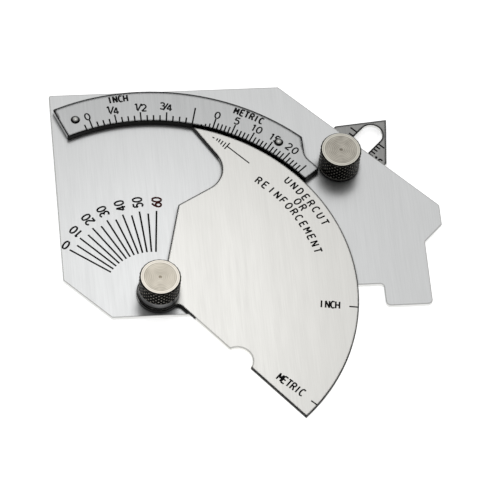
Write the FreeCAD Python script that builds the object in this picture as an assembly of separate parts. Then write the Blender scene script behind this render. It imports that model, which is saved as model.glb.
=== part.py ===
import FreeCAD, Part
import math
import os

# Bridge-type weld gauge in stainless sheet, in millimetres.
# Origin: on the pivot axis, in the plane that the two screw heads on the back rest on.
# +X runs along the line of the two feet, +Y away from the work, +Z up through the thumb nuts.
# The cam stands as it is stored, 112.5 degrees clockwise from its zero reading.

# Frame plate
FRAME_THICKNESS = 1.2
TOP_MARGIN = 0.9
LEFT_MARGIN = 0.63
CORNER_LEAD = 13.3
SLANT_FROM_CLAMP = 8.05
END_EDGE_BOTTOM_Y = 17.1
HOOK_DEPTH = 4.95
FOOT_DROP = 6.35
LEFT_FOOT_BEVEL = 11.55
LEFT_FOOT_END_X = 10.2
RIGHT_FOOT_WIDTH = 12.05
BRIDGE_CEILING_Y = 0.15
FOOT_CORNER_R = 1.3
BRIDGE_CORNER_R = 1.0
PLATE_CORNER_R = 0.6
EDGE_BREAK = 0.12

# Cam plate, which turns on the pivot
CAM_THICKNESS = 1.0
CAM_R = 50.8
POINTER_ANGLE = 75.6
POINTER_EDGE_ANGLE = -58.1
POINTER_LENGTH = 17.9
POINTER_BACK_R = 7.0
CAM_SHOULDER_X = 7.1
CAM_FRONT_ANGLE = 75.9
CAM_FRONT_OFFSET = 0.64
CAM_LOWER_ANGLE = -49.66
CAM_LOWER_OFFSET = 1.28
HUB_R = 5.65
HUB_FILLET_R = 1.3
NOTCH_ALONG = 27.7
NOTCH_OUT = 0.9
NOTCH_R = 3.75

# Arc scale plate, which is riveted on the frame plate round the cam
SCALE_THICKNESS = 1.7
SCALE_GAP = 0.3
SCALE_WIDTH = 9.2
SCALE_LEFT_ANGLE = 112.6
SCALE_RIGHT_ANGLE = 37.9
SCALE_TAIL_WIDTH = 5.0
RELIEF_START_ANGLE = 47.4
RELIEF_END_ANGLE = 43.2
RELIEF_FOOT_R = 4.0
SCALE_CORNER_R = 0.5

# Rivets of the scale plate
RIVET_SHANK_R = 0.75
RIVET_HEAD_R = 1.2
RIVET_HEAD_HEIGHT = 0.6
RIVET_FROM_INNER_RIM = 4.05
RIVET_LEFT_ANGLE = 108.5
RIVET_RIGHT_ANGLE = 51.2

# Throat blade, which slides behind the frame plate at 45 degrees
BLADE_THICKNESS = 1.0
BLADE_HALF_WIDTH = 8.65
BLADE_HALF_POINT = 39.3
BLADE_TAIL_MARGIN = 5.0
BLADE_TAIL_R = 2.0
BLADE_TIP_R = 0.3
SLOT_END_FROM_TIP = 6.3
THROAT_READING = 15.1
ZERO_MARGIN = 0.3

# Screws
SCREW_HEAD_R = 4.8
CLAMP_HEAD_THICKNESS = 1.2
SCREW_HEAD_EDGE = 0.3
THREAD_R = 2.0
THREAD_LENGTH = 5.9
THREAD_END_CHAMFER = 0.4
PIVOT_R = 2.5
KEY_WIDTH = 5.8
KEY_LENGTH = 8.0
CLAMPING_RECESS = 0.15

# Thumb nuts and their washers
NUT_R = 5.25
NUT_HEIGHT = 7.0
NUT_TOP_CHAMFER = 0.45
NUT_FOOT_CHAMFER = 0.25
NUT_ROOF = 1.1
NUT_COLLAR_HEIGHT = 2.0
NUT_GROOVE_WIDTH = 0.3
NUT_GROOVE_DEPTH = 0.12
NUT_CENTRE_R = 0.3
NUT_CENTRE_DEPTH = 0.25
WASHER_R = 4.7
WASHER_THICKNESS = 0.4

# Clearances
SLIDING_GAP = 0.03
HOLE_CLEARANCE = 0.03
RUNNING_CLEARANCE = 0.04
THREAD_CLEARANCE = 0.05
NUT_TO_SCALE = 0.23

# Levels of the layers above the plane that the heads rest on
BLADE_Z = CLAMP_HEAD_THICKNESS + SLIDING_GAP
FRAME_Z = BLADE_Z + BLADE_THICKNESS + SLIDING_GAP
FRAME_TOP_Z = FRAME_Z + FRAME_THICKNESS
CAM_Z = FRAME_TOP_Z + SLIDING_GAP
CAM_TOP_Z = CAM_Z + CAM_THICKNESS
CAM_WASHER_Z = CAM_TOP_Z + SLIDING_GAP

# Radii of the scale plate and places that follow from the sizes above
SCALE_INNER_R = CAM_R + SCALE_GAP
SCALE_OUTER_R = SCALE_INNER_R + SCALE_WIDTH
SCALE_TAIL_R = SCALE_INNER_R + SCALE_TAIL_WIDTH
RIVET_CIRCLE_R = SCALE_INNER_R + RIVET_FROM_INNER_RIM
UP = FreeCAD.Vector(0, 0, 1)
SAME_PLACE = 0.01


def point(x, y, z=0.0):
    return FreeCAD.Vector(x, y, z)


def polar(radius, degrees, z=0.0):
    angle = math.radians(degrees)
    return point(radius * math.cos(angle), radius * math.sin(angle), z)


# The frame's edges stand round the scale plate, and the gauge's corner lies outside them
FRAME_TOP_Y = SCALE_OUTER_R + TOP_MARGIN
FRAME_LEFT_X = polar(SCALE_OUTER_R, SCALE_LEFT_ANGLE).x - LEFT_MARGIN
FRAME_END_X = FRAME_TOP_Y + CORNER_LEAD
RIGHT_FOOT_END_X = FRAME_END_X - HOOK_DEPTH
RIGHT_FOOT_START_X = RIGHT_FOOT_END_X - RIGHT_FOOT_WIDTH

# The blade's line passes at 45 degrees through the corner where the top and end edges would meet.
# The clamp stands on it, just clear of the scale plate's tail.
BLADE_DIRECTION = polar(1.0, 45.0)
BLADE_SIDE = polar(1.0, 135.0)
GAUGE_CORNER = point(FRAME_END_X, FRAME_TOP_Y)
CLAMP_FROM_PIVOT = SCALE_TAIL_R + NUT_R + NUT_TO_SCALE
BLADE_LINE_SIDE = GAUGE_CORNER.dot(BLADE_SIDE)
CLAMP_ALONG = math.sqrt(CLAMP_FROM_PIVOT ** 2 - BLADE_LINE_SIDE ** 2)
CLAMP_CENTRE = BLADE_DIRECTION * CLAMP_ALONG + BLADE_SIDE * BLADE_LINE_SIDE
CLAMP_FROM_CORNER = (GAUGE_CORNER - CLAMP_CENTRE).Length


def line(start, end):
    return Part.LineSegment(start, end).toShape()


def arc(start, middle, end):
    return Part.Arc(start, middle, end).toShape()


def arc_about_pivot(radius, start_degrees, end_degrees):
    middle = 0.5 * (start_degrees + end_degrees)
    return arc(polar(radius, start_degrees), polar(radius, middle), polar(radius, end_degrees))


def rounded_corner(before, corner, after, radius):
    """Start, middle and end of the arc that rounds a corner between two straight lines."""
    back = (before - corner).normalize()
    ahead = (after - corner).normalize()
    half = 0.5 * back.getAngle(ahead)
    inward = (back + ahead).normalize()
    centre = corner + inward * (radius / math.sin(half))
    reach = radius / math.tan(half)
    return corner + back * reach, centre - inward * radius, corner + ahead * reach


def rounded_outline(corners):
    """Closed list of edges through (point, radius) corners."""
    edges = []
    rounds = []
    count = len(corners)
    for i, (corner, radius) in enumerate(corners):
        before = corners[i - 1][0]
        after = corners[(i + 1) % count][0]
        rounds.append(rounded_corner(before, corner, after, radius))
    for i, (start, middle, end) in enumerate(rounds):
        edges.append(arc(start, middle, end))
        edges.append(line(end, rounds[(i + 1) % count][0]))
    return edges


def upright_edges(blank, places):
    """The corner edges of a blank that stand over the given places."""
    found = []
    for edge in blank.Edges:
        foot = edge.Vertexes[0]
        over = any((point(foot.X, foot.Y) - place).Length < SAME_PLACE for place in places)
        if over and edge.BoundBox.ZLength > SAME_PLACE:
            found.append(edge)
    return found


def break_edges(blank, thickness):
    """Chamfers the long edges of a blank on both faces."""
    rims = [e for e in blank.Edges if e.BoundBox.ZLength < 0.5 * thickness]
    return blank.makeChamfer(EDGE_BREAK, rims)


def plate(edges, bottom_z, thickness):
    """A sheet cut to an outline, with its long edges broken on both faces."""
    wire = Part.Wire(Part.__sortEdges__(edges))
    solid = break_edges(Part.Face(wire).extrude(UP * thickness), thickness)
    solid.translate(UP * bottom_z)
    return solid


def cylinder(radius, bottom_z, top_z, centre=FreeCAD.Vector()):
    return Part.makeCylinder(radius, top_z - bottom_z, point(centre.x, centre.y, bottom_z), UP)


def obround(width, length, bottom_z, top_z):
    """A bar with round ends on the clamp's centre, its length along the blade."""
    radius = 0.5 * width
    reach = BLADE_DIRECTION * (0.5 * length - radius)
    side = BLADE_SIDE * radius
    cap = BLADE_DIRECTION * radius
    outer = CLAMP_CENTRE + reach
    inner = CLAMP_CENTRE - reach
    edges = [
        arc(outer - side, outer + cap, outer + side),
        line(outer + side, inner + side),
        arc(inner + side, inner - cap, inner - side),
        line(inner - side, outer - side),
    ]
    solid = Part.Face(Part.Wire(edges)).extrude(UP * (top_z - bottom_z))
    solid.translate(UP * bottom_z)
    return solid


def turned(profile, centre=FreeCAD.Vector()):
    """A turned piece from (radius, height) points, about an upright axis through centre."""
    points = [point(radius, 0, height) for radius, height in profile]
    edges = [line(a, b) for a, b in zip(points, points[1:] + points[:1])]
    solid = Part.Face(Part.Wire(edges)).revolve(FreeCAD.Vector(), UP, 360)
    solid.translate(point(centre.x, centre.y))
    return solid


def make_frame_plate():
    """Flat body with two feet, a bridge between them, a hook and a slanted reading edge."""
    feet_y = -FOOT_DROP
    slant_cut = (CLAMP_FROM_CORNER - SLANT_FROM_CLAMP) * math.sqrt(2)
    corners = [
        (point(FRAME_LEFT_X, FRAME_TOP_Y), PLATE_CORNER_R),
        (point(FRAME_LEFT_X, feet_y + LEFT_FOOT_BEVEL), PLATE_CORNER_R),
        (point(FRAME_LEFT_X + LEFT_FOOT_BEVEL, feet_y), PLATE_CORNER_R),
        (point(LEFT_FOOT_END_X, feet_y), FOOT_CORNER_R),
        (point(LEFT_FOOT_END_X, BRIDGE_CEILING_Y), BRIDGE_CORNER_R),
        (point(RIGHT_FOOT_START_X, BRIDGE_CEILING_Y), BRIDGE_CORNER_R),
        (point(RIGHT_FOOT_START_X, feet_y), FOOT_CORNER_R),
        (point(RIGHT_FOOT_END_X, feet_y), FOOT_CORNER_R),
        (point(RIGHT_FOOT_END_X, END_EDGE_BOTTOM_Y - HOOK_DEPTH), PLATE_CORNER_R),
        (point(FRAME_END_X, END_EDGE_BOTTOM_Y), PLATE_CORNER_R),
        (point(FRAME_END_X, FRAME_TOP_Y - slant_cut), PLATE_CORNER_R),
        (point(FRAME_END_X - slant_cut, FRAME_TOP_Y), PLATE_CORNER_R),
    ]
    body = plate(rounded_outline(corners), FRAME_Z, FRAME_THICKNESS)
    body = body.cut(cylinder(PIVOT_R + HOLE_CLEARANCE, FRAME_Z, FRAME_TOP_Z))
    key_play = 2 * HOLE_CLEARANCE
    body = body.cut(obround(KEY_WIDTH + key_play, KEY_LENGTH + key_play, FRAME_Z, FRAME_TOP_Z))
    return drill_rivets(body, FRAME_Z, FRAME_TOP_Z)


def drill_rivets(body, bottom_z, top_z):
    for degrees in (RIVET_LEFT_ANGLE, RIVET_RIGHT_ANGLE):
        centre = polar(RIVET_CIRCLE_R, degrees)
        body = body.cut(cylinder(RIVET_SHANK_R + HOLE_CLEARANCE, bottom_z, top_z, centre))
    return body


def make_scale_plate():
    """Raised arc that carries the two scales; its right end is relieved beside the clamp nut."""
    relief_top = polar(SCALE_OUTER_R, RELIEF_START_ANGLE)
    relief_foot = polar(SCALE_TAIL_R, RELIEF_END_ANGLE)
    tail_corner = polar(SCALE_TAIL_R, SCALE_RIGHT_ANGLE)
    right_corner = polar(SCALE_INNER_R, SCALE_RIGHT_ANGLE)
    left_corner = polar(SCALE_INNER_R, SCALE_LEFT_ANGLE)
    top_corner = polar(SCALE_OUTER_R, SCALE_LEFT_ANGLE)
    edges = [
        arc_about_pivot(SCALE_INNER_R, SCALE_RIGHT_ANGLE, SCALE_LEFT_ANGLE),
        line(left_corner, top_corner),
        arc_about_pivot(SCALE_OUTER_R, SCALE_LEFT_ANGLE, RELIEF_START_ANGLE),
        line(relief_top, relief_foot),
        arc_about_pivot(SCALE_TAIL_R, RELIEF_END_ANGLE, SCALE_RIGHT_ANGLE),
        line(tail_corner, right_corner),
    ]
    blank = Part.Face(Part.Wire(Part.__sortEdges__(edges))).extrude(UP * SCALE_THICKNESS)
    blank = blank.makeFillet(RELIEF_FOOT_R, upright_edges(blank, [relief_foot]))
    corners = [right_corner, left_corner, top_corner, relief_top, tail_corner]
    blank = blank.makeFillet(SCALE_CORNER_R, upright_edges(blank, corners))
    blank = break_edges(blank, SCALE_THICKNESS)
    blank.translate(UP * FRAME_TOP_Z)
    return drill_rivets(blank, FRAME_TOP_Z, FRAME_TOP_Z + SCALE_THICKNESS)


def make_scale_rivet(degrees):
    """Round-headed rivet; its tail is dressed flush with the back of the frame plate."""
    centre = polar(RIVET_CIRCLE_R, degrees)
    head_z = FRAME_TOP_Z + SCALE_THICKNESS
    ball_r = (RIVET_HEAD_R ** 2 + RIVET_HEAD_HEIGHT ** 2) / (2 * RIVET_HEAD_HEIGHT)
    ball = Part.makeSphere(ball_r, point(centre.x, centre.y, head_z + RIVET_HEAD_HEIGHT - ball_r))
    head = ball.common(cylinder(RIVET_HEAD_R, head_z, head_z + RIVET_HEAD_HEIGHT, centre))
    shank = cylinder(RIVET_SHANK_R, FRAME_Z, head_z, centre)
    return head.fuse(shank).removeSplitter()


def make_cam_plate():
    """Quadrant with the feeler pointer at its top, a hub on the pivot and a notch below."""
    lower = polar(1.0, CAM_LOWER_ANGLE)
    lower_normal = polar(1.0, CAM_LOWER_ANGLE + 90)
    front = polar(1.0, CAM_FRONT_ANGLE)
    front_normal = polar(1.0, CAM_FRONT_ANGLE - 90)

    def on_lower(along, out=0.0):
        return lower * along + lower_normal * (CAM_LOWER_OFFSET - out)

    tip = polar(CAM_R, POINTER_ANGLE)
    lower_tip = on_lower(math.sqrt(CAM_R ** 2 - CAM_LOWER_OFFSET ** 2))
    lower_tip_angle = math.degrees(math.atan2(lower_tip.y, lower_tip.x))

    front_start = front_normal * CAM_FRONT_OFFSET
    shoulder_run = (CAM_SHOULDER_X - front_start.x) / front.x
    shoulder = front_start + front * shoulder_run
    pointer_back = tip + polar(POINTER_LENGTH, POINTER_EDGE_ANGLE)
    hollow = rounded_corner(tip, pointer_back, shoulder, POINTER_BACK_R)
    bend = rounded_corner(hollow[2], shoulder, front_start, PLATE_CORNER_R)
    hub_top = front_start + front * math.sqrt(HUB_R ** 2 - CAM_FRONT_OFFSET ** 2)

    fillet_offset = CAM_LOWER_OFFSET - HUB_FILLET_R
    fillet_along = math.sqrt((HUB_R + HUB_FILLET_R) ** 2 - fillet_offset ** 2)
    fillet_centre = on_lower(fillet_along, HUB_FILLET_R)
    hub_end = fillet_centre * (HUB_R / (HUB_R + HUB_FILLET_R))
    fillet_end = on_lower(fillet_along)
    towards_middle = (hub_end + fillet_end - fillet_centre * 2).normalize()
    fillet_middle = fillet_centre + towards_middle * HUB_FILLET_R

    half_mouth = math.sqrt(NOTCH_R ** 2 - NOTCH_OUT ** 2)
    notch_start = on_lower(NOTCH_ALONG - half_mouth)
    notch_top = on_lower(NOTCH_ALONG, NOTCH_OUT - NOTCH_R)
    notch_end = on_lower(NOTCH_ALONG + half_mouth)

    edges = [
        arc_about_pivot(CAM_R, lower_tip_angle, POINTER_ANGLE),
        line(tip, hollow[0]),
        arc(*hollow),
        line(hollow[2], bend[0]),
        arc(*bend),
        line(bend[2], hub_top),
        arc(hub_top, point(-HUB_R, 0), hub_end),
        arc(hub_end, fillet_middle, fillet_end),
        line(fillet_end, notch_start),
        arc(notch_start, notch_top, notch_end),
        line(notch_end, lower_tip),
    ]
    body = plate(edges, CAM_Z, CAM_THICKNESS)
    return body.cut(cylinder(PIVOT_R + RUNNING_CLEARANCE, CAM_Z, CAM_TOP_Z))


def make_throat_blade():
    """Pointed slide with a long slot; its tip reads the throat of a fillet weld."""
    tip_along = CLAMP_FROM_CORNER - THROAT_READING
    shoulder_along = tip_along - BLADE_HALF_WIDTH / math.tan(math.radians(BLADE_HALF_POINT))
    key_reach = 0.5 * (KEY_LENGTH - KEY_WIDTH)
    slot_outer = tip_along - SLOT_END_FROM_TIP
    slot_inner = -(THROAT_READING + ZERO_MARGIN + key_reach)
    slot_r = 0.5 * KEY_WIDTH + RUNNING_CLEARANCE
    tail_along = slot_inner - slot_r - BLADE_TAIL_MARGIN

    def on_blade(along, across):
        return CLAMP_CENTRE + BLADE_DIRECTION * along + BLADE_SIDE * across

    corners = [
        (on_blade(tip_along, 0), BLADE_TIP_R),
        (on_blade(shoulder_along, BLADE_HALF_WIDTH), PLATE_CORNER_R),
        (on_blade(tail_along, BLADE_HALF_WIDTH), BLADE_TAIL_R),
        (on_blade(tail_along, -BLADE_HALF_WIDTH), BLADE_TAIL_R),
        (on_blade(shoulder_along, -BLADE_HALF_WIDTH), PLATE_CORNER_R),
    ]
    body = plate(rounded_outline(corners), BLADE_Z, BLADE_THICKNESS)
    slot_middle = 0.5 * (slot_outer + slot_inner)
    slot = obround(2 * slot_r, slot_outer - slot_inner + 2 * slot_r, BLADE_Z, BLADE_Z + BLADE_THICKNESS)
    slot.translate(BLADE_DIRECTION * slot_middle)
    return body.cut(slot)


def screw_head(thickness, centre):
    profile = [
        (0, 0),
        (SCREW_HEAD_R - SCREW_HEAD_EDGE, 0),
        (SCREW_HEAD_R, SCREW_HEAD_EDGE),
        (SCREW_HEAD_R, thickness),
        (0, thickness),
    ]
    return turned(profile, centre)


def threaded_end(bottom_z, length, centre):
    """Core of the thread, chamfered at its end; the fine thread itself isn't cut."""
    profile = [
        (0, bottom_z),
        (THREAD_R, bottom_z),
        (THREAD_R, bottom_z + length - THREAD_END_CHAMFER),
        (THREAD_R - THREAD_END_CHAMFER, bottom_z + length),
        (0, bottom_z + length),
    ]
    return turned(profile, centre)


def make_pivot_screw():
    """Plain head behind the frame, a bearing for the cam and a threaded end for its nut."""
    centre = FreeCAD.Vector()
    bearing_top = CAM_TOP_Z - CLAMPING_RECESS
    head = screw_head(FRAME_Z, centre)
    bearing = cylinder(PIVOT_R, FRAME_Z, bearing_top)
    thread = threaded_end(bearing_top, THREAD_LENGTH, centre)
    return head.fuse([bearing, thread]).removeSplitter()


def make_clamp_screw():
    """Head below the blade, with a flat-sided key that guides the blade and can't turn."""
    key_top = FRAME_TOP_Z - CLAMPING_RECESS
    head = screw_head(CLAMP_HEAD_THICKNESS, CLAMP_CENTRE)
    key = obround(KEY_WIDTH, KEY_LENGTH, CLAMP_HEAD_THICKNESS, key_top)
    thread = threaded_end(key_top, THREAD_LENGTH, CLAMP_CENTRE)
    return head.fuse([key, thread]).removeSplitter()


def make_washer(bottom_z, centre):
    top_z = bottom_z + WASHER_THICKNESS
    outer = cylinder(WASHER_R, bottom_z, top_z, centre)
    return outer.cut(cylinder(THREAD_R + THREAD_CLEARANCE, bottom_z, top_z, centre))


def make_thumb_nut(bottom_z, centre):
    """Blind round nut: a plain collar below, a groove, and the part that is knurled above."""
    hole_r = THREAD_R + THREAD_CLEARANCE
    top_z = bottom_z + NUT_HEIGHT
    groove_z = bottom_z + NUT_COLLAR_HEIGHT
    profile = [
        (hole_r, bottom_z),
        (NUT_R - NUT_FOOT_CHAMFER, bottom_z),
        (NUT_R, bottom_z + NUT_FOOT_CHAMFER),
        (NUT_R, groove_z),
        (NUT_R - NUT_GROOVE_DEPTH, groove_z + 0.5 * NUT_GROOVE_WIDTH),
        (NUT_R, groove_z + NUT_GROOVE_WIDTH),
        (NUT_R, top_z - NUT_TOP_CHAMFER),
        (NUT_R - NUT_TOP_CHAMFER, top_z),
        (NUT_CENTRE_R, top_z),
        (0, top_z - NUT_CENTRE_DEPTH),
        (0, top_z - NUT_ROOF),
        (hole_r, top_z - NUT_ROOF),
    ]
    return turned(profile, centre)


def make_parts():
    pivot = FreeCAD.Vector()
    return {
        "frame_plate": make_frame_plate(),
        "scale_plate": make_scale_plate(),
        "scale_rivet_left": make_scale_rivet(RIVET_LEFT_ANGLE),
        "scale_rivet_right": make_scale_rivet(RIVET_RIGHT_ANGLE),
        "pivot_screw": make_pivot_screw(),
        "cam_plate": make_cam_plate(),
        "cam_washer": make_washer(CAM_WASHER_Z, pivot),
        "cam_thumb_nut": make_thumb_nut(CAM_WASHER_Z + WASHER_THICKNESS, pivot),
        "throat_blade": make_throat_blade(),
        "clamp_screw": make_clamp_screw(),
        "clamp_washer": make_washer(FRAME_TOP_Z, CLAMP_CENTRE),
        "clamp_thumb_nut": make_thumb_nut(FRAME_TOP_Z + WASHER_THICKNESS, CLAMP_CENTRE),
    }


os.makedirs("parts", exist_ok=True)
for node, shape in make_parts().items():
    shape.exportStep(os.path.join("parts", node + ".step"))
    box = shape.BoundBox
    print(node, shape.isValid(), len(shape.Solids), "volume", round(shape.Volume, 2))
    print("  x", round(box.XMin, 2), round(box.XMax, 2), "y", round(box.YMin, 2), round(box.YMax, 2))
    print("  z", round(box.ZMin, 2), round(box.ZMax, 2))
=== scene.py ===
import math

import bmesh
import bpy
from mathutils import Matrix, Vector


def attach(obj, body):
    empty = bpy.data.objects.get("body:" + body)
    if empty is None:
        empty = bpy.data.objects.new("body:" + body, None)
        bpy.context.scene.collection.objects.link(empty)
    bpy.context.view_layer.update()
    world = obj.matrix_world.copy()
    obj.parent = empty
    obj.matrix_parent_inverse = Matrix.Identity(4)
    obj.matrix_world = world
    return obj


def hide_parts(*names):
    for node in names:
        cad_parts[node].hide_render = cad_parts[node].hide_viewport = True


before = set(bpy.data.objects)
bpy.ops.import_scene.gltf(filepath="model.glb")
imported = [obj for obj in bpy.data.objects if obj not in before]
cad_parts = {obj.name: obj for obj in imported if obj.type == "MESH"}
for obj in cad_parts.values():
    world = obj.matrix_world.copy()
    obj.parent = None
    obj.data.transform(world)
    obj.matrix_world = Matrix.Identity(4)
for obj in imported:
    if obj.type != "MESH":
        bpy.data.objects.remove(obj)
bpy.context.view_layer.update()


# Frame plate: the body of the gauge, with its two feet, the hook and the slanted reading edge.
# It is one piece of 1.2 mm stainless sheet, blanked to its outline, its faces ground to a satin
# grain that runs up the plate, its cut edges polished and slightly rolled over by the tool.
MM = 0.001
FRAME_TOP = 3.46


def linear(colour):
    """The linear red, green, blue and alpha of an sRGB hex colour."""
    parts = [int(colour[i:i + 2], 16) / 255 for i in (1, 3, 5)]
    return [c / 12.92 if c <= 0.04045 else ((c + 0.055) / 1.055) ** 2.4 for c in parts] + [1.0]


def add(tree, kind, settings=(), values=(), links=()):
    """A new node of this kind, with its settings, its sockets' values and the links into it."""
    node = tree.nodes.new("ShaderNode" + kind)
    for name, value in dict(settings).items():
        setattr(node, name, value)
    for socket, value in dict(values).items():
        node.inputs[socket].default_value = value
    for socket, source in dict(links).items():
        tree.links.new(source, node.inputs[socket])
    return node


def satin_stainless(name, face, light_grain, edge, edge_line, line_width, rim_width, roughness,
                    lit_stretch=(0, 0, 0)):
    """Ground stainless sheet: a streaky grain along Y on the faces, and a fine line of painted
    shade at each edge.

    line_width and rim_width are in millimetres. The last argument is the middle and the radius,
    also in millimetres, of a stretch of cut edge painted bright, as a painted reflection of the
    light.
    """
    lit_stretch_x, lit_stretch_y, lit_stretch_r = lit_stretch
    material = bpy.data.materials.new(name)
    material.use_nodes = True
    tree = material.node_tree
    tree.nodes.clear()
    place = add(tree, "TexCoord")
    # Real grinding lines are about 0.05 mm wide. They are drawn 0.3 mm wide and 9 mm long to show.
    fine_place = add(tree, "Mapping", values={"Scale": (3300, 110, 500)},
                     links={"Vector": place.outputs["Object"]})
    fine = add(tree, "TexNoise", values={"Scale": 1.0, "Detail": 2.0, "Roughness": 0.6},
               links={"Vector": fine_place.outputs[0]})
    # The broad streaks that the belt leaves are 2 mm wide and 50 mm long.
    broad_place = add(tree, "Mapping", values={"Scale": (480, 20, 100)},
                      links={"Vector": place.outputs["Object"]})
    broad = add(tree, "TexNoise", values={"Scale": 1.0, "Detail": 1.0},
                links={"Vector": broad_place.outputs[0]})
    streaks = add(tree, "Math", {"operation": "MULTIPLY"}, {1: 0.7}, {0: fine.outputs["Fac"]})
    both = add(tree, "Math", {"operation": "MULTIPLY_ADD"}, {1: 0.3},
               {0: broad.outputs["Fac"], 2: streaks.outputs[0]})
    spread = add(tree, "MapRange", values={"From Min": 0.35, "From Max": 0.65},
                 links={"Value": both.outputs[0]})
    grain = add(tree, "Mix", {"data_type": "RGBA"}, {6: linear(face), 7: linear(light_grain)},
                {0: spread.outputs[0]})
    normal = add(tree, "SeparateXYZ", links={0: place.outputs["Normal"]})
    upright = add(tree, "Math", {"operation": "ABSOLUTE"}, links={0: normal.outputs["Z"]})
    on_face = add(tree, "MapRange", values={"From Min": 0.75, "From Max": 0.95},
                  links={"Value": upright.outputs[0]})
    # Painted light and shade on the cut walls: those that face the left end take the light grain's
    # colour, and the others the edge colour, which on the scale and the cam is near black, so that
    # these walls are painted lit or in shade by the way they face. The stretch that the last
    # argument gives takes the light grain's colour too, as a painted reflection of the light.
    left_facing_cuts = add(tree, "MapRange", values={"From Min": -0.9, "From Max": -0.92},
                 links={"Value": normal.outputs["X"]})
    from_lit_stretch = add(tree, "VectorMath", {"operation": "SUBTRACT"},
                     {1: (lit_stretch_x * MM, lit_stretch_y * MM, 0)}, {0: place.outputs["Object"]})
    level = add(tree, "VectorMath", {"operation": "MULTIPLY"}, {1: (1, 1, 0)},
                {0: from_lit_stretch.outputs[0]})
    distance = add(tree, "VectorMath", {"operation": "LENGTH"}, links={0: level.outputs[0]})
    in_lit_stretch = add(tree, "MapRange",
                   values={"From Min": (lit_stretch_r + 0.1) * MM, "From Max": lit_stretch_r * MM},
                   links={"Value": distance.outputs["Value"]})
    bright = add(tree, "Math", {"operation": "MAXIMUM"},
                 links={0: left_facing_cuts.outputs[0], 1: in_lit_stretch.outputs[0]})
    wall = add(tree, "Mix", {"data_type": "RGBA"}, {6: linear(edge), 7: linear(light_grain)},
               {0: bright.outputs[0]})
    flat = add(tree, "Mix", {"data_type": "RGBA"},
               links={0: on_face.outputs[0], 6: wall.outputs[2], 7: grain.outputs[2]})
    # The tool rolls each edge over by 0.1 mm, and the rolled edge is painted as a line of shade in
    # the edge line's colour. That is drawn about a third of line_width wide to show, and on the
    # outer rim, from 58 mm off the pivot, about a third of rim_width.
    from_pivot = add(tree, "VectorMath", {"operation": "LENGTH"},
                     links={0: place.outputs["Object"]})
    width = add(tree, "MapRange", values={"From Min": 57 * MM, "From Max": 58 * MM,
                                          "To Min": line_width * MM, "To Max": rim_width * MM},
                links={"Value": from_pivot.outputs["Value"]})
    rolled = add(tree, "Bevel", {"samples": 10}, links={"Radius": width.outputs[0]})
    plain = add(tree, "NewGeometry")
    bent = add(tree, "VectorMath", {"operation": "DOT_PRODUCT"},
               links={0: rolled.outputs[0], 1: plain.outputs["Normal"]})
    rim = add(tree, "MapRange", values={"From Min": 0.9995, "From Max": 0.98},
              links={"Value": bent.outputs["Value"]})
    face_rim = add(tree, "Math", {"operation": "MULTIPLY"},
                   links={0: rim.outputs[0], 1: on_face.outputs[0]})
    # In that stretch the edge's line is painted a pale grey as well, as painted light.
    line_tone = add(tree, "Mix", {"data_type": "RGBA"},
                    {6: linear(edge_line), 7: linear("#A2A29E")}, {0: in_lit_stretch.outputs[0]})
    lined = add(tree, "Mix", {"data_type": "RGBA"},
                links={0: face_rim.outputs[0], 6: flat.outputs[2], 7: line_tone.outputs[2]})
    # Painted shade: the sheet is painted towards near black next to whatever stands on it, where
    # its contact shadow falls.
    contact_shade = add(tree, "AmbientOcclusion", {"samples": 8}, {"Distance": 2.5 * MM})
    unshaded_and_clean = add(tree, "MapRange", values={"From Min": 0.27, "From Max": 0.74},
                links={"Value": contact_shade.outputs["AO"]})
    colour = add(tree, "Mix", {"data_type": "RGBA"}, {6: linear("#1A1A19")},
                 {0: unshaded_and_clean.outputs[0], 7: lined.outputs[2]})
    dullness = add(tree, "MapRange",
                   values={"To Min": roughness + 0.02, "To Max": roughness - 0.02},
                   links={"Value": spread.outputs[0]})
    # The lines are 0.01 mm deep.
    bump = add(tree, "Bump", values={"Strength": 0.12, "Distance": 0.01 * MM},
               links={"Height": fine.outputs["Fac"]})
    shader = add(tree, "BsdfPrincipled", values={"Metallic": 1.0},
                 links={"Base Color": colour.outputs[2], "Roughness": dullness.outputs[0],
                        "Normal": bump.outputs[0]})
    add(tree, "OutputMaterial", links={"Surface": shader.outputs[0]})
    return material


def dress(node, material):
    """Gives a CAD node its finish."""
    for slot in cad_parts[node].material_slots:
        slot.material = material


# Satin stainless: a pale, cool grey with soft upright streaks and a broad soft sheen. Its edges are
# lined in grey as painted shade.
dress("frame_plate", satin_stainless("satin_stainless_frame", "#DADBDB", "#E0E1E1", "#DFDFDD",
                                     "#9C9C9A", 0.4, 0.4, 0.3))


# Angle scale of the frame plate: thirteen lines from 0 to 60 degrees that fan out from the pivot,
# with their numbers. They are etched into the sheet and filled with black enamel, and the last
# number has a dark red fill.
ANGLE_SCALE = (-0.9, -0.6)
ZERO_LINE = 144.5
LINE_STEP = 4.985
LINE_START = 13.1


def bow(x, y, wide, high, start, end):
    """Points along part of an oval, from one angle to another in degrees."""
    degrees_each = 30
    steps = max(3, round(abs(end - start) / degrees_each))
    angles = [math.radians(start + (end - start) * i / steps) for i in range(steps + 1)]
    return [(x + wide * math.cos(a), y + high * math.sin(a)) for a in angles]


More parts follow.
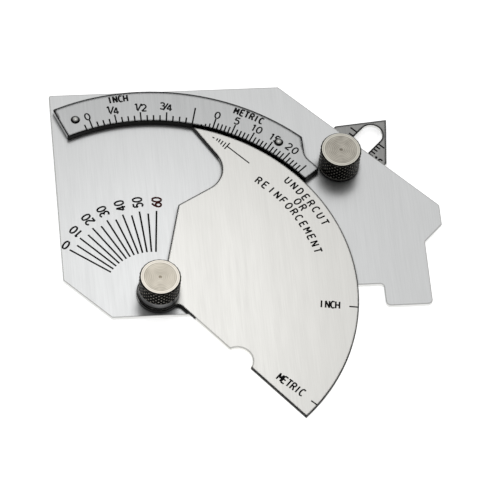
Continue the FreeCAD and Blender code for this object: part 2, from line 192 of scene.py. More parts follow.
# Each letter is a few strokes of the etching stencil, in a cell one unit high about its middle.
LETTERS = {
    "0": [bow(0, 0, 0.31, 0.5, 0, 360)],
    "1": [[(-0.16, 0.3), (0.05, 0.5), (0.05, -0.5)]],
    "2": [bow(0, 0.2, 0.29, 0.3, 165, -30) + [(-0.3, -0.5), (0.32, -0.5)]],
    "3": [bow(-0.02, 0.25, 0.27, 0.25, 150, -90) + bow(-0.02, -0.23, 0.31, 0.27, 90, -150)],
    "4": [[(0.34, -0.22), (-0.32, -0.22), (0.12, 0.5), (0.12, -0.5)]],
    "5": [[(0.27, 0.5), (-0.21, 0.5), (-0.26, 0.04)] + bow(-0.01, -0.18, 0.3, 0.32, 125, -145)],
    "6": [bow(0.01, -0.2, 0.29, 0.3, 0, 360), [(0.18, 0.5), (-0.1, 0.26), (-0.27, -0.1)]],
    "/": [[(-0.3, -0.55), (0.3, 0.55)]],
    "C": [bow(0.03, 0, 0.33, 0.5, 50, 310)],
    "D": [[(-0.28, -0.5), (-0.28, 0.5)] + bow(-0.03, 0, 0.32, 0.5, 90, -90) + [(-0.28, -0.5)]],
    "E": [[(0.29, 0.5), (-0.26, 0.5), (-0.26, -0.5), (0.29, -0.5)], [(-0.26, 0.02), (0.2, 0.02)]],
    "F": [[(0.29, 0.5), (-0.26, 0.5), (-0.26, -0.5)], [(-0.26, 0.02), (0.2, 0.02)]],
    "H": [[(-0.28, 0.5), (-0.28, -0.5)], [(0.28, 0.5), (0.28, -0.5)], [(-0.28, 0), (0.28, 0)]],
    "I": [[(0, 0.5), (0, -0.5)]],
    "M": [[(-0.31, -0.5), (-0.31, 0.5), (0, -0.15), (0.31, 0.5), (0.31, -0.5)]],
    "N": [[(-0.28, -0.5), (-0.28, 0.5), (0.28, -0.5), (0.28, 0.5)]],
    "O": [bow(0, 0, 0.32, 0.5, 0, 360)],
    "R": [[(-0.27, -0.5), (-0.27, 0.5)] + bow(0.04, 0.26, 0.24, 0.24, 90, -90) + [(-0.27, 0.02)],
          [(0.05, 0.02), (0.29, -0.5)]],
    "T": [[(-0.32, 0.5), (0.32, 0.5)], [(0, 0.5), (0, -0.5)]],
    "U": [[(-0.28, 0.5)] + bow(0, -0.2, 0.28, 0.3, 180, 360) + [(0.28, 0.5)]],
}


def letter(sign, x, y, top, height, width, slim=1.0):
    """The strokes of one letter about a middle in millimetres; top is where its top points."""
    up = math.radians(top)
    placed = []
    for stroke in LETTERS[sign]:
        points = [(x + height * (v * math.cos(up) + slim * u * math.sin(up)),
                   y + height * (v * math.sin(up) - slim * u * math.cos(up))) for u, v in stroke]
        placed.append((points, width))
    return placed


def polar(radius, angle, centre=(0, 0)):
    """A point in millimetres at a radius and an angle in degrees about a centre."""
    turned = math.radians(angle)
    return centre[0] + radius * math.cos(turned), centre[1] + radius * math.sin(turned)


def tick(angle, inner, outer, width, centre=(0, 0)):
    """One straight graduation along a radius."""
    return [([polar(inner, angle, centre), polar(outer, angle, centre)], width)]


def straightened(stroke):
    """A stroke cut apart at its sharp corners, where the stencil's line starts anew."""
    # The cosine of a turn of about 45 degrees.
    sharp = 0.7
    points, width = stroke
    runs = [[points[0]]]
    for before, here, after in zip(points, points[1:], points[2:]):
        runs[-1].append(here)
        inward = math.atan2(here[1] - before[1], here[0] - before[0])
        outward = math.atan2(after[1] - here[1], after[0] - here[0])
        if math.cos(outward - inward) < sharp:
            runs.append([here])
    runs[-1].append(points[-1])
    return [(run, width) for run in runs]


def filled_lines(name, strokes, top, body, material):
    """Etched and filled lines: flat beads of enamel that stand about 0.01 mm proud of the sheet."""
    flatness = 0.06
    curve = bpy.data.curves.new(name, "CURVE")
    curve.dimensions = "3D"
    curve.twist_mode = "Z_UP"
    curve.bevel_depth = MM
    curve.bevel_resolution = 0
    curve.use_fill_caps = True
    for points, width in [run for stroke in strokes for run in straightened(stroke)]:
        closed = len(points) > 3 and math.dist(points[0], points[-1]) < 0.001
        if closed:
            points = points[:-1]
        spline = curve.splines.new("POLY")
        spline.points.add(len(points) - 1)
        for point, (x, y) in zip(spline.points, points):
            point.co = (x * MM, y * MM, 0, 1)
            point.radius = width / 2
        spline.use_cyclic_u = closed
    drawn = bpy.data.objects.new(name, curve)
    bpy.context.scene.collection.objects.link(drawn)
    bpy.context.view_layer.update()
    mesh = bpy.data.meshes.new_from_object(drawn)
    bpy.data.objects.remove(drawn)
    mesh.transform(Matrix.Translation((0, 0, top * MM)) @ Matrix.Diagonal((1, 1, flatness, 1)))
    made = bmesh.new()
    made.from_mesh(mesh)
    bmesh.ops.recalc_face_normals(made, faces=made.faces)
    made.to_mesh(mesh)
    made.free()
    mesh.materials.clear()
    mesh.materials.append(material)
    piece = bpy.data.objects.new(name, mesh)
    bpy.context.scene.collection.objects.link(piece)
    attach(piece, body)


def filled_enamel(name, dark, light):
    """Enamel rubbed into etched lines: nearly matt, with a slight change from line to line."""
    material = bpy.data.materials.new(name)
    material.use_nodes = True
    tree = material.node_tree
    tree.nodes.clear()
    place = add(tree, "TexCoord")
    # The fill wears unevenly over a millimetre or so.
    worn = add(tree, "TexNoise", values={"Scale": 900.0, "Detail": 1.0},
               links={"Vector": place.outputs["Object"]})
    colour = add(tree, "Mix", {"data_type": "RGBA"}, {6: linear(dark), 7: linear(light)},
                 {0: worn.outputs["Fac"]})
    shader = add(tree, "BsdfPrincipled", values={"Roughness": 0.6, "Specular IOR Level": 0.1},
                 links={"Base Color": colour.outputs[2]})
    add(tree, "OutputMaterial", links={"Surface": shader.outputs[0]})
    return material


# Filled enamel: black with hardly a gloss, so that each line reads at any angle.
black_enamel = filled_enamel("black_filled_enamel", "#040404", "#101010")
dark_red_enamel = filled_enamel("dark_red_filled_enamel", "#2E0A08", "#4A1410")

angle_lines = []
for step in range(13):
    line_end = 25.4 if step % 2 == 0 else 24.6
    angle_lines += tick(ZERO_LINE - LINE_STEP * step, LINE_START, line_end, 0.46, ANGLE_SCALE)
angle_lines += letter("0", *polar(26.93, 143.0, ANGLE_SCALE), 233.0, 2.5, 0.5, 0.8)
for number, angle, first in (("10", 133.0, 26.55), ("20", 123.15, 27.3), ("30", 113.9, 27.3),
                             ("40", 104.2, 27.3), ("50", 94.7, 27.3)):
    for sign, radius in zip(number, (first, first + 1.65)):
        middle = polar(radius, angle, ANGLE_SCALE)
        angle_lines += letter(sign, *middle, angle + 90, 2.4, 0.5, 0.82)
filled_lines("angle_scale_lines", angle_lines, FRAME_TOP, "frame", black_enamel)

last_number = []
for sign, radius in zip("60", (27.25, 28.75)):
    middle = polar(radius, 84.75, ANGLE_SCALE)
    last_number += letter(sign, *middle, 174.75, 2.4, 0.54, 0.85)
filled_lines("angle_scale_sixty", last_number, FRAME_TOP, "frame", dark_red_enamel)


# Scale plate: the raised arc in which the cam's rim runs, with an inch scale on its left and a
# millimetre scale on its right. It is a second piece of stainless sheet, a little darker than the
# frame, riveted down at both ends, with its graduations etched and filled black.
SCALE_TOP = 5.16
SCALE_INNER = 51.1
CAM_RIM = 50.8
TIP_DROP = 6.35
INCH = 25.4

# Satin stainless, ground finer and darker than the frame: a calm mid grey with a low sheen. Its cut
# walls, but for those facing the left end, and the lines along its edges are painted near black as
# shade.
dress("scale_plate", satin_stainless("satin_stainless_scale", "#C3C4C4", "#CBCCCC", "#0A0A09",
                                     "#060606", 0.85, 1.4, 0.32))


def cam_turn_for(reading):
    """How far the cam turns, in degrees, as its tip rises by a reading in millimetres."""
    start = math.asin(-TIP_DROP / CAM_RIM)
    return math.degrees(math.asin((reading - TIP_DROP) / CAM_RIM) - start)


INCH_ZERO = 104.9
METRIC_ZERO = 69.6
TICK_START = SCALE_INNER + 0.15
scale_lines = []
for sixteenth in range(-1, 17):
    reach = 52.9
    if sixteenth % 4 == 0:
        reach = 53.9
    if sixteenth == 16:
        reach = 56.3
    scale_lines += tick(INCH_ZERO - cam_turn_for(sixteenth * INCH / 16), TICK_START, reach, 0.4)
for millimetre in range(26):
    reach = 54.3 if millimetre % 5 == 0 else 53.2
    scale_lines += tick(METRIC_ZERO - cam_turn_for(millimetre), TICK_START, reach, 0.4)
# Three short lines below the millimetres' zero, for an undercut.
for below, length in ((-1, 1.4), (-2, 1.0), (-3, 0.6)):
    angle = METRIC_ZERO - cam_turn_for(below)
    scale_lines += tick(angle, TICK_START, SCALE_INNER + length, 0.36)
scale_labels = (
    ("0", 105.1, 55.0), ("1", 98.96, 55.7), ("/", 98.11, 55.35), ("4", 97.07, 55.0),
    ("1", 91.43, 55.6), ("/", 90.61, 55.4), ("2", 89.46, 55.2),
    ("3", 84.46, 55.8), ("/", 83.58, 55.6), ("4", 82.58, 55.4),
    ("0", 69.46, 55.5), ("5", 64.0, 55.6), ("1", 59.14, 55.6), ("0", 57.5, 55.6),
    ("1", 53.63, 55.6), ("5", 52.09, 55.6), ("2", 48.2, 55.7), ("0", 46.14, 55.7),
)
for sign, angle, radius in scale_labels:
    scale_lines += letter(sign, *polar(radius, angle), angle, 2.0, 0.41)
for sign, angle in zip("INCH", (98.0, 96.65, 95.25, 93.95)):
    scale_lines += letter(sign, *polar(58.5, angle), angle, 1.9, 0.48, 0.85)
for sign, angle in zip("METRIC", (65.2, 63.67, 62.4, 61.02, 59.74, 58.3)):
    scale_lines += letter(sign, *polar(58.45, angle), angle, 1.85, 0.48, 0.85)
filled_lines("scale_lines", scale_lines, SCALE_TOP, "frame", black_enamel)


# Scale rivets: two small round-headed steel rivets that hold the arc on the frame plate.
# They are formed cold, so their heads are smooth. The crown is painted bright as a highlight and
# the foot near black as shade.
def formed_steel(name, crown, foot, roughness, low, high):
    """Smooth formed or turned steel, darker towards the bottom: the foot colour below the height
    low and the crown colour above high, in millimetres.
    """
    material = bpy.data.materials.new(name)
    material.use_nodes = True
    tree = material.node_tree
    tree.nodes.clear()
    place = add(tree, "TexCoord")
    spot = add(tree, "SeparateXYZ", links={0: place.outputs["Object"]})
    height = add(tree, "MapRange", values={"From Min": low * MM, "From Max": high * MM},
                 links={"Value": spot.outputs["Z"]})
    # Tarnish in patches of half a millimetre.
    patches = add(tree, "TexNoise", values={"Scale": 2000.0, "Detail": 2.0},
                  links={"Vector": place.outputs["Object"]})
    shade = add(tree, "Math", {"operation": "MULTIPLY_ADD"}, {1: 0.3, 2: -0.15},
                {0: patches.outputs["Fac"]})
    mixed = add(tree, "Math", {"operation": "ADD", "use_clamp": True},
                links={0: height.outputs[0], 1: shade.outputs[0]})
    # The underside is left out of the darkening and the tarnish, in the crown colour.
    normal = add(tree, "SeparateXYZ", links={0: place.outputs["Normal"]})
    under = add(tree, "MapRange", values={"From Min": -0.6, "From Max": -0.9},
                links={"Value": normal.outputs["Z"]})
    unshaded_and_clean = add(tree, "Math", {"operation": "MAXIMUM"},
                links={0: mixed.outputs[0], 1: under.outputs[0]})
    colour = add(tree, "Mix", {"data_type": "RGBA"}, {6: linear(foot), 7: linear(crown)},
                 {0: unshaded_and_clean.outputs[0]})
    dullness = add(tree, "MapRange", values={"To Min": roughness + 0.08, "To Max": roughness},
                   links={"Value": patches.outputs["Fac"]})
    shader = add(tree, "BsdfPrincipled", values={"Metallic": 1.0},
                 links={"Base Color": colour.outputs[2], "Roughness": dullness.outputs[0]})
    add(tree, "OutputMaterial", links={"Surface": shader.outputs[0]})
    return material


# Cold-formed steel: a small bead, its foot painted near black as shade and its crown painted bright
# as a glint.
rivet_finish = formed_steel("cold_formed_rivet_steel", "#C8C8C4", "#050505", 0.16, 5.52, 5.74)
dress("scale_rivet_left", rivet_finish)
dress("scale_rivet_right", rivet_finish)


# Pivot screw: a low round head behind the plate, the bearing that the cam turns on, and an M4
# end for the thumb nut. It is turned steel with a nickel plate, and is seen only from behind.

# Nickel plate: a warmer and glossier grey than the stainless round it.
screw_finish = formed_steel("nickel_plated_screw_steel", "#B8B4AC", "#A19D95", 0.28, 0.0, 2.2)
dress("pivot_screw", screw_finish)


# Cam: the quadrant that turns on the pivot, with the pointer whose tip feels an undercut or the
# weld's reinforcement. It is 1 mm stainless sheet of the same satin grind as the frame, and
# carries two index lines on its rim and the names of its readings, etched and filled black.
CAM_TOP = 4.49

# Satin stainless, the brightest face of the gauge: warm pale grey with the same upright grain.
# Its cut walls and edge lines are painted near black as shade, except along its lower edge from
# near the hub to the end of the round notch, which is painted bright as a reflection of the light.
dress("cam_plate", satin_stainless("satin_stainless_cam", "#E0DFDB", "#E6E5E1", "#0B0B0A",
                                   "#121211", 0.7, 0.7, 0.3, (14.96, -15.64, 9.75)))

cam_lines = []
for place, sign in enumerate("UNDERCUT"):
    angle = 41.31 - 2.65 * place
    cam_lines += letter(sign, *polar(47.9, angle), angle, 1.95, 0.42)
for sign, angle in zip("OR", (33.58, 30.84)):
    cam_lines += letter(sign, *polar(45.4, angle), angle, 1.95, 0.42)
for place, sign in enumerate("REINFORCEMENT"):
    angle = 48.41 - 2.88 * place
    cam_lines += letter(sign, *polar(42.75, angle), angle, 1.95, 0.42)
for sign, radius in zip("INCH", (41.24, 42.8, 44.15, 45.35)):
    cam_lines += letter(sign, *polar(radius, -7.8), 82.2, 2.0, 0.44, 0.85)
for sign, radius in zip("METRIC", (38.7, 39.99, 41.4, 42.81, 44.15, 45.6)):
    cam_lines += letter(sign, *polar(radius, -42.8), 47.2, 2.05, 0.44, 0.85)
for angle, start in ((-8.0, 48.3), (-43.3, 48.7)):
    cam_lines += tick(angle, start, CAM_RIM - 0.1, 0.38)
# A fan of short lines with one long line through it, behind the pointer.
arrow = (
    ((17.62, 45.79), (18.14, 45.41)), ((18.98, 45.32), (18.57, 44.63)),
    ((19.65, 45.05), (19.02, 44.08)), ((20.3, 44.49), (19.5, 43.41)),
    ((20.99, 43.92), (19.99, 42.68)), ((21.98, 43.76), (20.43, 42.01)),
    ((21.1, 42.86), (26.46, 37.32)),
)
for start, end in arrow:
    cam_lines.append(([start, end], 0.34))
filled_lines("cam_lines", cam_lines, CAM_TOP, "cam", black_enamel)


# Cam washer: a plain stamped steel washer between the cam and its nut, which rises with the nut.
# It is tumbled bright and shows only as a thin dark line under the nut.

# Stamped steel: a plain grey, duller than the nut.
washer_finish = formed_steel("stamped_washer_steel", "#9A9893", "#8A8883", 0.4, 3.0, 5.0)
dress("cam_washer", washer_finish)


# Thumb nuts: one locks the cam and the other the blade. Each is turned from steel bar, diamond
# knurled, faced, broken at the top edge, drilled blind, tapped M4 from below and nickel plated. The
# cam's nut has a plain collar below the knurl. The lathe's centre leaves a dimple in each face.
NUT_R = 5.25
NUT_HEIGHT = 7.0
NUT_FACE_R = 4.92
NUT_RECESS_R = 4.05
RECESS_DEPTH = 0.05
DIMPLE_R = 0.36
DIMPLE_DEPTH = 0.4
HOLE_R = 2.05
ROOF = 1.1
BROKEN_EDGE = 0.25
KNURL_ROOT_R = 5.0
KNURL_CREST_R = 5.34
KNURL_TOP = 6.67
KNURL_ROW = 0.72
KNURL_AROUND = 48
PIVOT = (0, 0)
CAM_NUT_FOOT = 4.92


def knurled_steel(name, centre):
    """Rolled knurling: bright points, worn and partly a painted highlight, on hollows painted
    black, as shade with some grime.
    """
    material = bpy.data.materials.new(name)
    material.use_nodes = True
    tree = material.node_tree
    tree.nodes.clear()
    place = add(tree, "TexCoord")
    about = add(tree, "Mapping", values={"Location": (-centre[0] * MM, -centre[1] * MM, 0)},
                links={"Vector": place.outputs["Object"]})
    level = add(tree, "VectorMath", {"operation": "MULTIPLY"}, {1: (1, 1, 0)},
                {0: about.outputs[0]})
    radius = add(tree, "VectorMath", {"operation": "LENGTH"}, links={0: level.outputs[0]})
    # Only the outer half of each point is bright, worn and partly a painted highlight; the rest is
    # painted black as shade.
    height = add(tree, "MapRange",
                 values={"From Min": 5.16 * MM, "From Max": KNURL_CREST_R * MM},
                 links={"Value": radius.outputs["Value"]})
    # Grime in patches of 1 mm dims the points.
    patches = add(tree, "TexNoise", values={"Scale": 1000.0, "Detail": 3.0},
                  links={"Vector": place.outputs["Object"]})
    grime = add(tree, "MapRange", values={"From Min": 0.3, "From Max": 0.6, "To Min": 0.45},
                links={"Value": patches.outputs["Fac"]})
    worn = add(tree, "Math", {"operation": "MULTIPLY"},
               links={0: height.outputs[0], 1: grime.outputs[0]})
    colour = add(tree, "Mix", {"data_type": "RGBA"}, {6: linear("#050505"), 7: linear("#A09C94")},
                 {0: worn.outputs[0]})
    shader = add(tree, "BsdfPrincipled", values={"Metallic": 1.0, "Roughness": 0.3},
                 links={"Base Color": colour.outputs[2]})
    add(tree, "OutputMaterial", links={"Surface": shader.outputs[0]})
    return material


def faced_steel(name, centre, dark, light, rim, roughness):
    """A face turned on the lathe: fine rings about the nut's axis, inside a rim whose bright bands
    are a painted highlight.
    """
    material = bpy.data.materials.new(name)
    material.use_nodes = True
    tree = material.node_tree
    tree.nodes.clear()
    place = add(tree, "TexCoord")
    about = add(tree, "Mapping", values={"Location": (-centre[0] * MM, -centre[1] * MM, 0)},
                links={"Vector": place.outputs["Object"]})
    # The tool's rings are 0.15 mm apart on the real face. They are drawn 0.45 mm apart to show.
    # A wave texture of scale 1 repeats every 2 pi / 20.
    ring_scale = 2 * math.pi / 20 / (0.45 * MM)
    rings = add(tree, "TexWave", {"wave_type": "RINGS", "rings_direction": "Z"},
                {"Scale": ring_scale, "Distortion": 0.6, "Detail": 1.0, "Detail Scale": 1.5},
                {"Vector": about.outputs[0]})
    # Faint smears from the coolant, 2 mm across.
    smears = add(tree, "TexNoise", values={"Scale": 450.0, "Detail": 2.0},
                 links={"Vector": place.outputs["Object"]})
    blend = add(tree, "Math", {"operation": "MULTIPLY_ADD"}, {1: 0.5},
                {0: rings.outputs["Fac"], 2: smears.outputs["Fac"]})
    tone = add(tree, "MapRange", values={"From Min": 0.45, "From Max": 1.05},
               links={"Value": blend.outputs[0]})
    colour = add(tree, "Mix", {"data_type": "RGBA"}, {6: linear(dark), 7: linear(light)},
                 {0: tone.outputs[0]})
    level = add(tree, "VectorMath", {"operation": "MULTIPLY"}, {1: (1, 1, 0)},
                {0: about.outputs[0]})
    radius = add(tree, "VectorMath", {"operation": "LENGTH"}, links={0: level.outputs[0]})
    share = add(tree, "MapRange", values={"From Max": NUT_FACE_R * MM},
                links={"Value": radius.outputs["Value"]})
    # Across the rim, from the recess to the edge: a bright band, a dull groove, a bright edge, the
    # bright ones a painted highlight in the rim colour.
    bands = add(tree, "ValToRGB", links={"Fac": share.outputs[0]})
    bands.color_ramp.elements[0].position = NUT_RECESS_R / NUT_FACE_R
    bands.color_ramp.elements[1].position = 4.8 / NUT_FACE_R
    for band_r, brightness in ((4.2, 0.7), (4.5, 0.7), (4.6, 0.15)):
        stop = bands.color_ramp.elements.new(band_r / NUT_FACE_R)
        stop.color = (brightness, brightness, brightness, 1)
    with_rim = add(tree, "Mix", {"data_type": "RGBA"}, {7: linear(rim)},
                   {0: bands.outputs[0], 6: colour.outputs[2]})
    bump = add(tree, "Bump", values={"Strength": 0.6, "Distance": 0.03 * MM},
               links={"Height": rings.outputs["Fac"]})
    # The tool's marks run round the axis, so the light drags out across them.
    round_axis = add(tree, "VectorMath", {"operation": "CROSS_PRODUCT"}, {1: (0, 0, 1)},
                     {0: about.outputs[0]})
    shader = add(tree, "BsdfPrincipled",
                 values={"Metallic": 1.0, "Roughness": roughness, "Anisotropic": 0.6},
                 links={"Base Color": with_rim.outputs[2], "Normal": bump.outputs[0],
                        "Tangent": round_axis.outputs[0]})
    add(tree, "OutputMaterial", links={"Surface": shader.outputs[0]})
    return material


def by_corners(part):
    """A number that gives edges or faces one fixed order, from the indexes of their corners."""
    corners = sorted(vert.index for vert in part.verts)
    return corners[0] * 1e8 + corners[1] * 1e4 + corners[-1]


def thumb_nut(name, node, body, foot, centre, rows, face_finish, side_finish, collar_finish):
    """One nut with so many rows of knurl, for its CAD node; foot is the height of its underside."""
    top = foot + NUT_HEIGHT
    knurl_low = KNURL_TOP - KNURL_ROW * (rows - 1)
    collar_top = knurl_low - 0.35
    section = [
        (0, top - ROOF), (HOLE_R, top - ROOF), (HOLE_R, foot),
        (NUT_R - BROKEN_EDGE, foot), (NUT_R, foot + BROKEN_EDGE),
        (NUT_R, foot + collar_top), (KNURL_ROOT_R, foot + collar_top + 0.1),
    ]
    section += [(KNURL_ROOT_R, foot + knurl_low + KNURL_ROW * row) for row in range(rows)]
    section += [
        (NUT_R - 0.02, top - BROKEN_EDGE), (NUT_FACE_R, top), (NUT_RECESS_R + 0.1, top),
        (NUT_RECESS_R, top - RECESS_DEPTH), (DIMPLE_R, top - RECESS_DEPTH),
        (DIMPLE_R / 3, top - DIMPLE_DEPTH), (0, top - DIMPLE_DEPTH),
    ]
    turned = bmesh.new()
    line = [turned.verts.new((r * MM, 0, z * MM)) for r, z in section]
    edges = [turned.edges.new(pair) for pair in zip(line, line[1:])]
    bmesh.ops.spin(turned, geom=line + edges, cent=(0, 0, 0), axis=(0, 0, 1), dvec=(0, 0, 0),
                   angle=2 * math.pi, steps=KNURL_AROUND, use_merge=True)
    bmesh.ops.remove_doubles(turned, verts=turned.verts, dist=0.000002)
    bmesh.ops.recalc_face_normals(turned, faces=turned.faces)
    # The spin leaves its edges and faces in another order each run, so they are sorted.
    turned.verts.index_update()
    turned.edges.sort(key=by_corners)
    turned.faces.sort(key=by_corners)
    # The knurling tool raises points and presses diamond grooves between them.
    for vert in turned.verts:
        row = (vert.co.z / MM - foot - knurl_low) / KNURL_ROW
        in_hole = vert.co.xy.length < 3 * MM
        if in_hole or not -0.1 < row < rows - 0.9:
            continue
        around = math.atan2(vert.co.y, vert.co.x) / (2 * math.pi) * KNURL_AROUND
        if (round(row) + round(around)) % 2 == 0:
            vert.co.xy *= KNURL_CREST_R * MM / vert.co.xy.length
    # Three finishes: the face with its recess and dimple, the knurled side, and the plain rest.
    side = []
    for face in turned.faces:
        middle = face.calc_center_median()
        height = middle.z / MM - foot
        if middle.xy.length < 4.85 * MM and height > NUT_HEIGHT - DIMPLE_DEPTH - 0.05:
            face.material_index = 0
        elif height > collar_top + 0.02:
            face.material_index = 1
            side.append(face)
        else:
            face.material_index = 2
    # Each face between two points and two hollows folds along the groove, hollow to hollow.
    for face in side:
        low = [vert for vert in face.verts if vert.co.xy.length < (KNURL_ROOT_R + 0.1) * MM]
        if len(low) == 2 and len(face.verts) == 4 and not any(
                edge.other_vert(low[0]) == low[1] for edge in face.edges if low[0] in edge.verts):
            bmesh.utils.face_split(face, low[0], low[1])
    mesh = bpy.data.meshes.new(name)
    turned.to_mesh(mesh)
    turned.free()
    mesh.transform(Matrix.Translation((centre[0] * MM, centre[1] * MM, 0)))
    mesh.shade_smooth()
    mesh.set_sharp_from_angle(angle=math.radians(20))
    for finish in (face_finish, side_finish, collar_finish):
        mesh.materials.append(finish)
    nut = bpy.data.objects.new(name, mesh)
    bpy.context.scene.collection.objects.link(nut)
    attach(nut, body)
    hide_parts(node)


# Knurled steel: nearly black, its hollows painted as shade, with faint bright points on the
# diamonds, worn and partly a painted highlight. The plain collar is painted a darker grey than the
# face, darker still towards its foot, as painted shade: it mirrors the plate's shade.
cam_nut_side = knurled_steel("knurled_cam_nut_steel", PIVOT)
cam_nut_collar = formed_steel("turned_cam_nut_collar", "#6A6A6B", "#424242", 0.26, 4.9, 6.9)
# Faced and plated steel: warm beige rings with a bright edge painted as a highlight.
cam_nut_face = faced_steel("faced_cam_nut_steel", PIVOT, "#B5AEA0", "#E0D9CB", "#FBF5EA", 0.3)
thumb_nut("cam_nut_knurled", "cam_thumb_nut", "cam_nut", CAM_NUT_FOOT, PIVOT, 7,
          cam_nut_face, cam_nut_side, cam_nut_collar)


# Throat blade: the pointed blade that slides at 45 degrees behind the frame plate and feels the
# throat of a fillet weld. It is 1 mm stainless sheet left matt, with a long slot for the clamp
# screw and ticks filled black on both sides of it, millimetres on one and sixteenths on the other.
BLADE_TOP = 2.23
CLAMP = (49.68284, 36.38284)
BLADE_ZERO = -7.3
SLOT_SIDE = 3.15

# Matt stainless: a darker, plainer grey than the frame. Its edges are lined near black as painted
# shade.
dress("throat_blade", satin_stainless("matt_stainless_blade", "#9A9A98", "#A4A4A2", "#E2E2E0",
                                      "#0A0A0A", 1.0, 1.0, 0.42))


def on_blade(along, across):
    """A point on the blade, from the clamp's centre along the blade and to its left."""
    diagonal = math.sqrt(0.5)
    return (CLAMP[0] + diagonal * (along - across), CLAMP[1] + diagonal * (along + across))


blade_lines = []
for millimetre in range(21):
    along = BLADE_ZERO + millimetre
    reach = 5.2 if millimetre % 5 == 0 else 4.5
    blade_lines.append(([on_blade(along, -SLOT_SIDE), on_blade(along, -reach)], 0.44))
for sixteenth in range(13):
    along = BLADE_ZERO + sixteenth * INCH / 16
    reach = 5.4 if sixteenth % 4 == 0 else 4.6
    blade_lines.append(([on_blade(along, SLOT_SIDE), on_blade(along, reach)], 0.44))
for number, millimetre in (("5", 5), ("10", 10), ("15", 15)):
    for place, sign in enumerate(number):
        middle = on_blade(BLADE_ZERO + millimetre + 0.6, -5.4 - 1.4 * place)
        blade_lines += letter(sign, *middle, 45, 2.1, 0.46, 0.85)
for fraction, sixteenth in (("1/4", 4), ("1/2", 8)):
    for place, sign in enumerate(fraction):
        middle = on_blade(BLADE_ZERO + sixteenth * INCH / 16, 7.9 - 0.95 * place)
        blade_lines += letter(sign, *middle, 45, 1.4, 0.26)
filled_lines("blade_lines", blade_lines, BLADE_TOP, "blade", black_enamel)


# Clamp screw, washer and nut: the screw's head lies below the blade, and its flat-sided key
# guides the blade in the frame's keyhole. Pulled up by its thumb nut, over a stamped washer, it
# clamps the blade. The three are of the same steel and plate as those of the cam.
CLAMP_NUT_FOOT = 3.86
dress("clamp_screw", screw_finish)
dress("clamp_washer", washer_finish)

# The same steels as on the cam's nut, greyer and darker as the photograph shows this one. This nut
# is the same part as the cam's, so its darker face and near-black collar are painted shade.
clamp_nut_face = faced_steel("faced_clamp_nut_steel", CLAMP, "#9B968C", "#C4BFB4", "#DEDBD0", 0.32)
clamp_nut_side = knurled_steel("knurled_clamp_nut_steel", CLAMP)
clamp_nut_collar = formed_steel("turned_clamp_nut_collar", "#2A2A29", "#141413", 0.3, 3.8, 5.9)
thumb_nut("clamp_nut_knurled", "clamp_thumb_nut", "clamp_nut", CLAMP_NUT_FOOT, CLAMP, 9,
          clamp_nut_face, clamp_nut_side, clamp_nut_collar)


# Floor: a plain white board. Rays that see it straight, or in metal, find it white, and it keeps
# a faint shadow under the gauge.
board = bmesh.new()
bmesh.ops.create_grid(board, x_segments=1, y_segments=1, size=2.0)
bmesh.ops.translate(board, verts=board.verts, vec=(0, 0, -0.0002))
floor_mesh = bpy.data.meshes.new("floor")
board.to_mesh(floor_mesh)
board.free()
floor = bpy.data.objects.new("floor", floor_mesh)
bpy.context.scene.collection.objects.link(floor)
white_board = bpy.data.materials.new("white_board")
white_board.use_nodes = True
board_tree = white_board.node_tree
board_tree.nodes.clear()
ray = add(board_tree, "LightPath")
sees = add(board_tree, "Math", {"operation": "MAXIMUM"},
           links={0: ray.outputs["Is Camera Ray"], 1: ray.outputs["Is Glossy Ray"]})
sees_too = add(board_tree, "Math", {"operation": "MAXIMUM"},
               links={0: sees.outputs[0], 1: ray.outputs["Is Transmission Ray"]})
lift = add(board_tree, "Math", {"operation": "MULTIPLY"}, {1: 0.58}, {0: sees_too.outputs[0]})
white = add(board_tree, "BsdfDiffuse", values={"Color": linear("#F4F4F4")})
glow = add(board_tree, "Emission", values={"Color": linear("#FFFFFF")},
           links={"Strength": lift.outputs[0]})
board_sum = add(board_tree, "AddShader", links={0: white.outputs[0], 1: glow.outputs[0]})
add(board_tree, "OutputMaterial", links={"Surface": board_sum.outputs[0]})
floor_mesh.materials.append(white_board)


# Studio light: a pale tent that is brightest high up behind the gauge, where the satin faces
# mirror it, and one soft lamp on the same side whose sheen lies on the lower left of the plates.
MIRRORED = (0.107, 0.514, 0.851)
LAMP_DISTANCE = 0.25
studio = bpy.data.worlds.new("studio")
bpy.context.scene.world = studio
studio.use_nodes = True
tent = studio.node_tree
tent.nodes.clear()
direction = add(tent, "TexCoord")
facing = add(tent, "VectorMath", {"operation": "DOT_PRODUCT"}, {1: MIRRORED},
             {0: direction.outputs["Generated"]})
tent_level = add(tent, "MapRange", {"interpolation_type": "SMOOTHSTEP"},
                 {"From Min": -0.2, "From Max": 1.0, "To Min": 0.6, "To Max": 0.78},
                 {"Value": facing.outputs["Value"]})
height = add(tent, "SeparateXYZ", links={0: direction.outputs["Generated"]})
tent_foot = add(tent, "MapRange", {"interpolation_type": "SMOOTHSTEP"},
                {"From Min": 0.0, "From Max": 0.4, "To Min": 0.45, "To Max": 1.0},
                {"Value": height.outputs["Z"]})
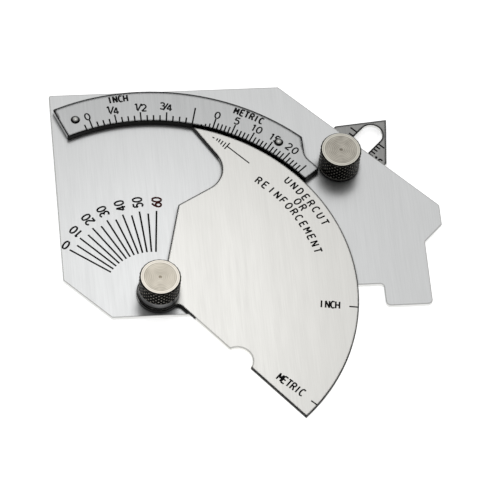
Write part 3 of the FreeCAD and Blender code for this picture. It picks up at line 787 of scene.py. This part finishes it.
tent_round = add(tent, "Math", {"operation": "MULTIPLY"},
                 links={0: tent_level.outputs[0], 1: tent_foot.outputs[0]})
tent_ray = add(tent, "LightPath")
tent_seen = add(tent, "Mix", {"data_type": "FLOAT"}, {3: 1.0},
                {0: tent_ray.outputs["Is Camera Ray"], 2: tent_round.outputs[0]})
tent_light = add(tent, "Background", values={"Color": linear("#FFFFFF")},
                 links={"Strength": tent_seen.outputs[0]})
add(tent, "OutputWorld", links={"Surface": tent_light.outputs[0]})

lamp = bpy.data.lights.new("soft_lamp", "AREA")
lamp.shape = "DISK"
lamp.size = 0.1
lamp.energy = 0.015
soft_lamp = bpy.data.objects.new("soft_lamp", lamp)
bpy.context.scene.collection.objects.link(soft_lamp)
lamp_aim = Vector((-0.008, -0.02, 0.0035))
lamp_place = lamp_aim + LAMP_DISTANCE * Vector(MIRRORED)
soft_lamp.matrix_world = Matrix.Translation(lamp_place) @ (
    (lamp_place - lamp_aim).to_track_quat("Z", "Y").to_matrix().to_4x4())


# Camera: from the side of the feet, 58 degrees above the plate, a metre off and slightly rolled,
# with a long lens, so that the lines of the gauge hardly run together.
CAMERA_DISTANCE = 1.0536
aim = Vector((24.342, 11.816, FRAME_TOP)) * MM
azimuth = math.radians(-11.816)
elevation = math.radians(58.326)
roll = math.radians(7.667)
back = Vector((math.sin(azimuth) * math.cos(elevation),
               -math.cos(azimuth) * math.cos(elevation), math.sin(elevation)))
level = Vector((math.cos(azimuth), math.sin(azimuth), 0))
over = back.cross(level)
across_image = level * math.cos(roll) + over * math.sin(roll)
up_image = over * math.cos(roll) - level * math.sin(roll)
lens = bpy.data.cameras.new("camera")
lens.sensor_width = 36
lens.lens = 297.597
lens.clip_start = 0.05
lens.clip_end = 20
camera = bpy.data.objects.new("camera", lens)
bpy.context.scene.collection.objects.link(camera)
turn = Matrix((across_image, up_image, back)).transposed().to_4x4()
camera.matrix_world = Matrix.Translation(aim + back * CAMERA_DISTANCE) @ turn
bpy.context.scene.camera = camera
bpy.context.scene.view_settings.view_transform = "Standard"
